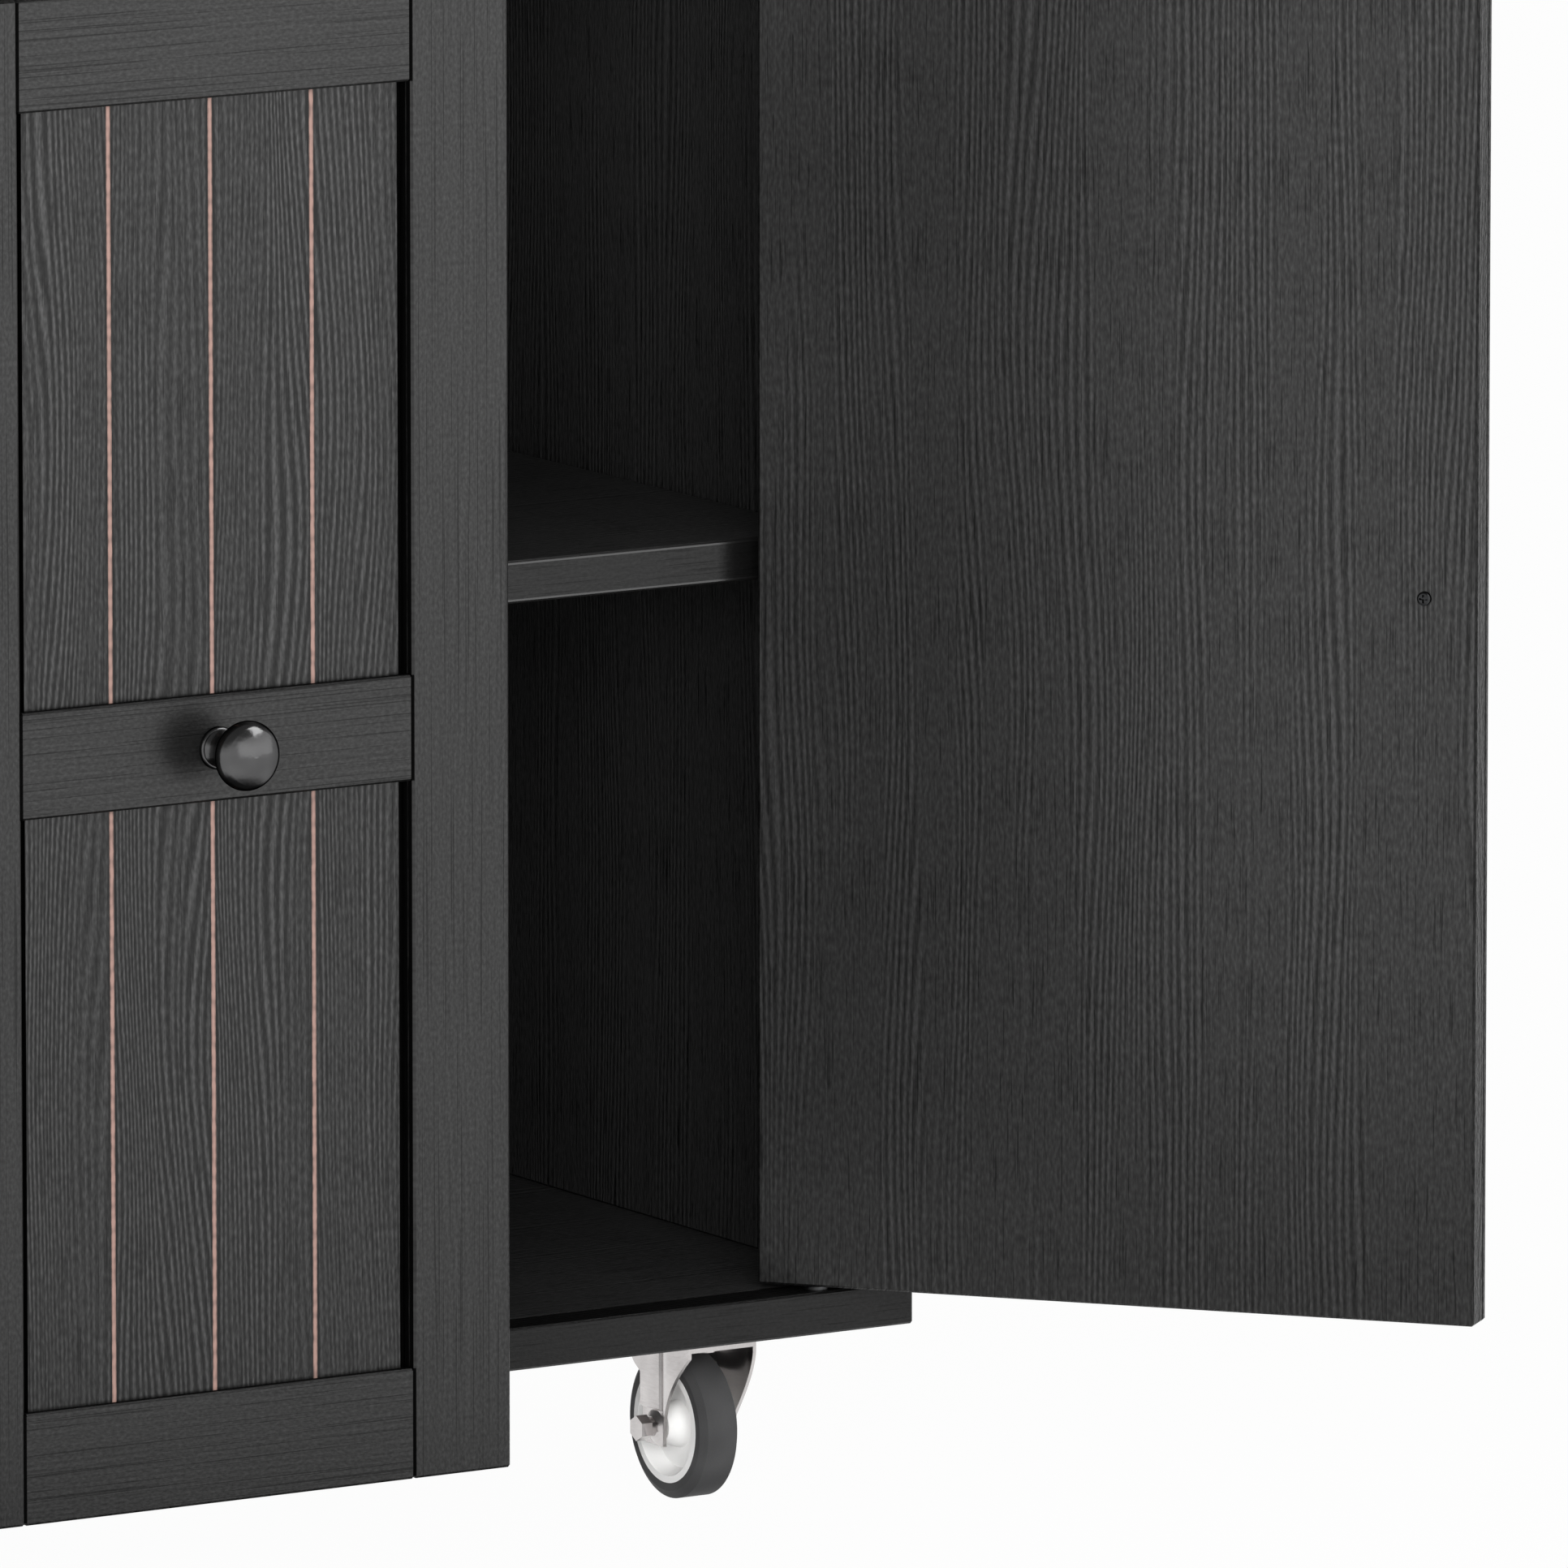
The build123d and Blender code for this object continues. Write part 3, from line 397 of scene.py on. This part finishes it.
def front_finish(front):
    """A front: strips on its face, planks in its fields, one broad grain on its inside."""
    finish = Finish(f"{front.name}_laminate")
    x, y, z = front.spots(finish)
    inner = front.half_width - STILE_WIDTH
    inside = y > 0.5 * (STRIP_THICK + FRONT_THICK)
    field = (y > STRIP_THICK - SLACK) - inside
    broad = field + inside
    rail = ((abs(x) < inner) - field - inside).limited()
    edge_beside = abs(x) > front.half_width - EASED_EDGE
    edge_above = abs(z) > front.half_height - EASED_EDGE
    edge = (edge_beside + edge_above).limited()
    beside_rail = (abs(z) > front.half_height - RAIL_WIDTH) + (abs(z) < 0.5 * MIDDLE_RAIL_WIDTH)
    joint = (abs(abs(x) - inner) < EASED_EDGE) * (y > 2.0 * SLACK) * beside_rail
    # Painted shade: the walls of the recesses and grooves below the face are painted black and matt, and
    # so are the joints between stiles and rails
    wall = (y > EASED_EDGE) * (abs(y - STRIP_THICK) > SLACK)
    shade_and_joints = ((wall + joint).limited() - inside).limited() * (1.0 - edge)
    plank = (x / PLANK_WIDTH + front.plank_shift).floor() * field
    along = finish.blend(rail, z, x) + plank * PLANK_STEP[0]
    across = finish.blend(rail, x, z) + y + plank * PLANK_STEP[1]
    rings = 0.08 + field * 0.62 + inside * 0.42
    fibres = 0.36 - broad * 0.03
    # A dip beside each copper line, partly relief and partly painted shade: the planks turn darker and
    # duller there
    line_dip_and_shade = (1.0 - front.from_line(x).between(0.5 * LINE_WIDTH, 1.3 * LINE_WIDTH)) * field
    reach = finish.blend(broad, STRIP_FIBRE_LENGTH, FIBRE_LENGTH)
    bead = finish.blend(broad, STRIP_BEAD_LENGTH, BEAD_LENGTH)
    drift = RING_DRIFT + field * PLANK_DRIFT
    fade = RING_FADE - field * PLANK_FADE
    height = pressed_grain(finish, along, across, rings, fibres, reach, bead, drift, fade) - line_dip_and_shade * 0.8
    height = height + edge * edge_specks(finish, x, y, z)
    paint = finish.colour(inside, GRAIN_RIDGE, INSIDE_RIDGE)
    return laminate(finish, height, paint, 1.0 - field * 0.10 - edge * 0.9, edge, shade_and_joints)


def copper_finish(front):
    """Thin copper lines with painted shade at their edges, brushed along their length and a little uneven.
    """
    finish = Finish(f"{front.name}_copper")
    x, _, z = front.spots(finish)
    streaks = finish.noise(z / STREAK_LENGTH, x / STREAK_WIDTH, detail=1.0)
    beads = finish.noise(z / COPPER_BEAD, x / COPPER_BEAD + 5.0)
    # Painted shade: each line turns dull and dark towards its edges
    margin_shade = front.from_line(x).between(0.15 * LINE_WIDTH, 0.5 * LINE_WIDTH)
    level = (0.95 + beads * 0.9 + streaks * 0.6 - margin_shade * 0.75).limited()
    return finish.surface(
        Base_Color=finish.colour(level, COPPER_DULL_AND_SHADE, COPPER_BRIGHT),
        Metallic=0.25,
        Roughness=0.48 - level * 0.12,
        Normal=finish.relief(level, depth=0.0001, strength=0.5),
    )


def knob_finish(front):
    """Black plating on the knob, dark at its rim, and blued steel on its screw behind the front."""
    finish = Finish(f"{front.name}_black_plate")
    x, y, z = front.spots(finish)
    screw = y > FRONT_THICK - SCREW_SUNK
    skin = finish.noise(x / KNOB_SKIN, z / KNOB_SKIN, y / KNOB_SKIN)
    level = (0.5 + finish.noise(x / KNOB_CLOUD, z / KNOB_CLOUD, y / KNOB_CLOUD) * 1.6).limited()
    plate = finish.colour(level, PLATED_DARK, PLATED_LIGHT)
    blued = finish.colour(level, BLUED_DARK, BLUED_LIGHT)
    return finish.surface(
        Base_Color=finish.colour(screw, plate, blued),
        Metallic=1.0,
        Specular_Tint=PLATED_RIM,
        Roughness=0.15 + level * 0.05 + screw * 0.13,
        Normal=finish.relief(skin + 0.5, depth=0.00006, strength=0.4),
    )


def metal_finish(name, dull, bright, roughness, line, stretch):
    """Plated steel with fine drawing lines and soft clouds in the plating."""
    finish = Finish(name)
    x, y, z = finish.axes(finish.place())
    lines = finish.noise(y / (line * stretch), x / line, z / line, detail=3.0) * 2.0
    cloud = finish.noise(x / METAL_CLOUD, y / METAL_CLOUD, z / METAL_CLOUD) * 2.0
    level = (0.55 + lines * 0.22 + cloud * 0.4).limited()
    return finish.surface(
        Base_Color=finish.colour(level, dull, bright),
        Metallic=1.0,
        Roughness=roughness + 0.08 - level * 0.10,
        Normal=finish.relief(lines * 0.5 + 0.5, depth=0.00003, strength=0.35),
    )


def moulded_finish(name, dark, light, roughness, shine, spot, depth):
    """Moulded plastic or rubber: a fine matt skin with soft clouds of wear."""
    finish = Finish(name)
    x, y, z = finish.axes(finish.place())
    skin = finish.noise(x / spot, y / spot, z / spot, detail=3.0)
    cloud = finish.noise(x / MOULDED_CLOUD, y / MOULDED_CLOUD, z / MOULDED_CLOUD) * 1.8
    level = (0.5 + cloud * 0.5 + skin * 0.5).limited()
    return finish.surface(
        Base_Color=finish.colour(level, dark, light),
        Roughness=roughness + 0.10 - level * 0.12,
        Specular_IOR_Level=shine,
        Normal=finish.relief(skin + 0.5, depth, strength=0.6),
    )


def worktop_finish():
    """Oiled hardwood staves glued side by side, each with its own tone and grain."""
    finish = Finish("worktop_staves")
    x, y, z = finish.axes(finish.place())
    row = (y / STAVE_WIDTH).floor()
    run = x / STAVE_LENGTH + row * STAVE_STAGGER
    stave = run.floor()
    tone = finish.noise(row * TONE_STEP[0], stave * TONE_STEP[1]) * 2.4
    across = y + z + row * ROW_STEP[1] + stave * STAVE_STEP
    along = x + row * ROW_STEP[0]
    figure = pressed_grain(finish, along, across * 0.5, 0.5, 0.5)
    level = (0.5 + tone * 0.55 + figure * 0.24).limited()
    joint_across = abs(y / STAVE_WIDTH - row - 0.5) > 0.5 - SIDE_GLUE_LINE / STAVE_WIDTH
    joint_along = abs(run - stave - 0.5) > 0.5 - END_GLUE_LINE / STAVE_LENGTH
    joint = (joint_across + joint_along).limited()
    wood = finish.colour(level, STAVE_DARK, STAVE_PALE)
    return finish.surface(
        Base_Color=finish.colour(joint * 0.75, wood, PORE_BROWN),
        Roughness=0.46 - level * 0.10 + joint * 0.2,
        Specular_IOR_Level=0.4,
        Normal=finish.relief((0.5 + figure * 0.25 - joint * 0.6).limited(), depth=0.0002, strength=0.6),
    )


def dress(material, *nodes):
    """Gives a finish to carried-over solids."""
    for node in nodes:
        mesh = frame["nodes"][node].data
        mesh.materials.clear()
        mesh.materials.append(material)


def both(*names):
    """The left and the right piece of each name."""
    return [f"{side}_{name}" for name in names for side in ("left", "right")]


def castor(piece):
    """One piece of all four castors."""
    return [f"{row}_{name}" for row in ("front", "back") for name in both(f"castor_{piece}")]


fronts = [
    Front("left_door", "left_door_frame"),
    open_twin("right_door", "left_door_frame", "right_door_swing"),
    Front("pullout", "pullout_frame"),
    Front("left_drawer", "left_drawer_front"),
    Front("right_drawer", "right_drawer_front"),
]
for front in fronts:
    drawer = "drawer" in front.name
    pieces = ("front",) if drawer else ("frame", "panel")
    dress(front_finish(front), *[f"{front.name}_{piece}" for piece in pieces])
    dress(knob_finish(front), f"{front.name}_knob")
    if not drawer:
        dress(copper_finish(front), f"{front.name}_inlays")

dress(board_finish("upright_boards", Z, X), *both("side_panel", "partition"), "drawer_divider")
dress(board_finish("back_boards", Z, Y), "back_panel", "pullout_back")
dress(board_finish("shelf_boards", X, Z, SHELF_RIDGE, SHELF_GLOSS, "left_shelf"), *both("shelf"))
dress(board_finish("level_boards", X, Z, SHELF_RIDGE), "bottom_panel", "drawer_deck", "top_rails")
# Painted shade: the plinth rail gets the fronts' colour with less gloss, so it looks darker
dress(board_finish("shaded_plinth_rail", X, Z, GRAIN_RIDGE, PLINTH_SHADE_GLOSS), "bottom_front_rail")
dress(board_finish("box_boards", Y, X), *both("drawer_box"), "pullout_tray", "pullout_tiers")
dress(worktop_finish(), "worktop")
aged_plate = metal_finish("aged_plate", AGED_DULL, AGED_BRIGHT,
                          roughness=0.42, line=0.25, stretch=20.0)
zinc_plate = metal_finish("zinc_plate", ZINC_DULL, ZINC_BRIGHT,
                          roughness=0.34, line=0.25, stretch=60.0)
bright_plate = metal_finish("bright_plate", CHROME_DULL, CHROME_BRIGHT,
                            roughness=0.20, line=0.6, stretch=8.0)
white_nylon = moulded_finish("white_nylon", NYLON_SHADE, NYLON_LIGHT,
                             roughness=0.42, shine=0.45, spot=0.5, depth=0.00004)
grey_tyre = moulded_finish("grey_tyre", TYRE_DARK, TYRE_LIGHT,
                           roughness=0.56, shine=0.15, spot=0.35, depth=0.00008)
dress(aged_plate, "pivot_bushes")
dress(zinc_plate, *both("door_pivot_pins", "drawer_runners"))
dress(zinc_plate, "shelf_pins", "cabinet_runners", "pullout_runners")
dress(bright_plate, *castor("fork"), *castor("axle"), "castor_plates", "pullout_guard_rails")
dress(white_nylon, *castor("wheel"))
dress(grey_tyre, *castor("tyre"))


def soft_lamp(name, place, aim, size, power):
    """A soft box that looks at a point."""
    lamp = bpy.data.lights.new(name, "AREA")
    lamp.shape = "RECTANGLE"
    lamp.size, lamp.size_y = size
    lamp.energy = power
    holder = bpy.data.objects.new(name, lamp)
    holder.location = place
    holder.rotation_euler = (Vector(aim) - Vector(place)).to_track_quat("-Z", "Y").to_euler()
    bpy.context.scene.collection.objects.link(holder)
    return holder


def studio():
    """A pale floor, soft boxes in front, soft light from all round, and a white background."""
    sky = bpy.data.worlds.new("studio")
    sky.use_nodes = True
    bpy.context.scene.world = sky
    air = Nodes(sky.node_tree)
    background = sky.node_tree.nodes["Background"]
    air.feed(background.inputs["Color"], STUDIO_WHITE)
    height = air.axes(air.node("ShaderNodeTexCoord", {}, {}, "Generated"))[Z]
    shine = ROOM_SHINE * (1.0 - CEILING_DIM * height.between(*CEILING_RISE))
    light = air.blend(air.sent_on(), ROOM_LIGHT, shine)
    air.feed(background.inputs["Strength"], air.blend(air.ray("Camera"), light, 1.0))

    bpy.ops.mesh.primitive_circle_add(vertices=FLOOR_SIDES, radius=FLOOR_RADIUS, fill_type="NGON")
    floor = bpy.context.object
    floor.name = "floor"
    paint = Finish("floor_paint")
    paint.surface(Base_Color=FLOOR_WHITE, Roughness=0.9)
    spot = paint.place()
    ahead = paint.node("ShaderNodeVectorMath", {"operation": "DISTANCE"},
                       {0: spot, 1: FRONT_MIDDLE}, "Value")
    right, behind, _ = paint.axes(spot)
    # Painted shadow: the floor that shiny pieces mirror is dark near the fronts and lit beyond, paler to
    # the right
    lit = (ahead.between(*SHADOW_REACH) + behind.between(*BEHIND_FRONT)).limited()
    far = paint.colour(right.between(*LEFT_TO_RIGHT), FLOOR_SHINE_LEFT, FLOOR_SHINE_RIGHT)
    sent_on = paint.sent_on()
    shown = paint.colour(sent_on, STUDIO_WHITE, paint.colour(lit, FLOOR_SHADOW_NEAR, far))
    glow = paint.node("ShaderNodeEmission", {}, {"Color": shown, "Strength": 1.0})
    mixed = paint.node("ShaderNodeMixShader", {}, {0: paint.ray("Camera") * FLOOR_GLOW + sent_on, 2: glow})
    paint.tree.links.new(paint.principled.outputs[0], mixed.socket.node.inputs[1])
    paint.tree.links.new(mixed.socket, paint.tree.nodes["Material Output"].inputs["Surface"])
    floor.data.materials.append(paint.material)

    soft_lamp("front_box", place=(1.75, -3.20, 0.95), aim=LAMP_AIM, size=(5.2, 2.0), power=24.0)
    top = soft_lamp("top_box", place=(1.62, -1.98, 2.12), aim=LAMP_AIM, size=(1.2, 1.2), power=20.0)
    top.visible_diffuse = False
    fill = soft_lamp("fill_box", place=(-2.3, -3.7, 1.20), aim=FILL_AIM, size=(4.0, 2.4), power=280.0)
    fill.visible_glossy = False


def camera():
    """The viewpoint: from the left and a little above, far off with a long lens."""
    lens = bpy.data.cameras.new("viewpoint")
    lens.sensor_width = SENSOR_WIDTH
    lens.lens = LENS
    lens.clip_end = FAR_CLIP
    holder = bpy.data.objects.new("viewpoint", lens)
    holder.location = EYE
    holder.rotation_euler = (radians(90.0 + EYE_PITCH), 0.0, radians(-EYE_YAW))
    bpy.context.scene.collection.objects.link(holder)
    bpy.context.scene.camera = holder


studio()
camera()
bpy.context.scene.view_settings.view_transform = "Standard"
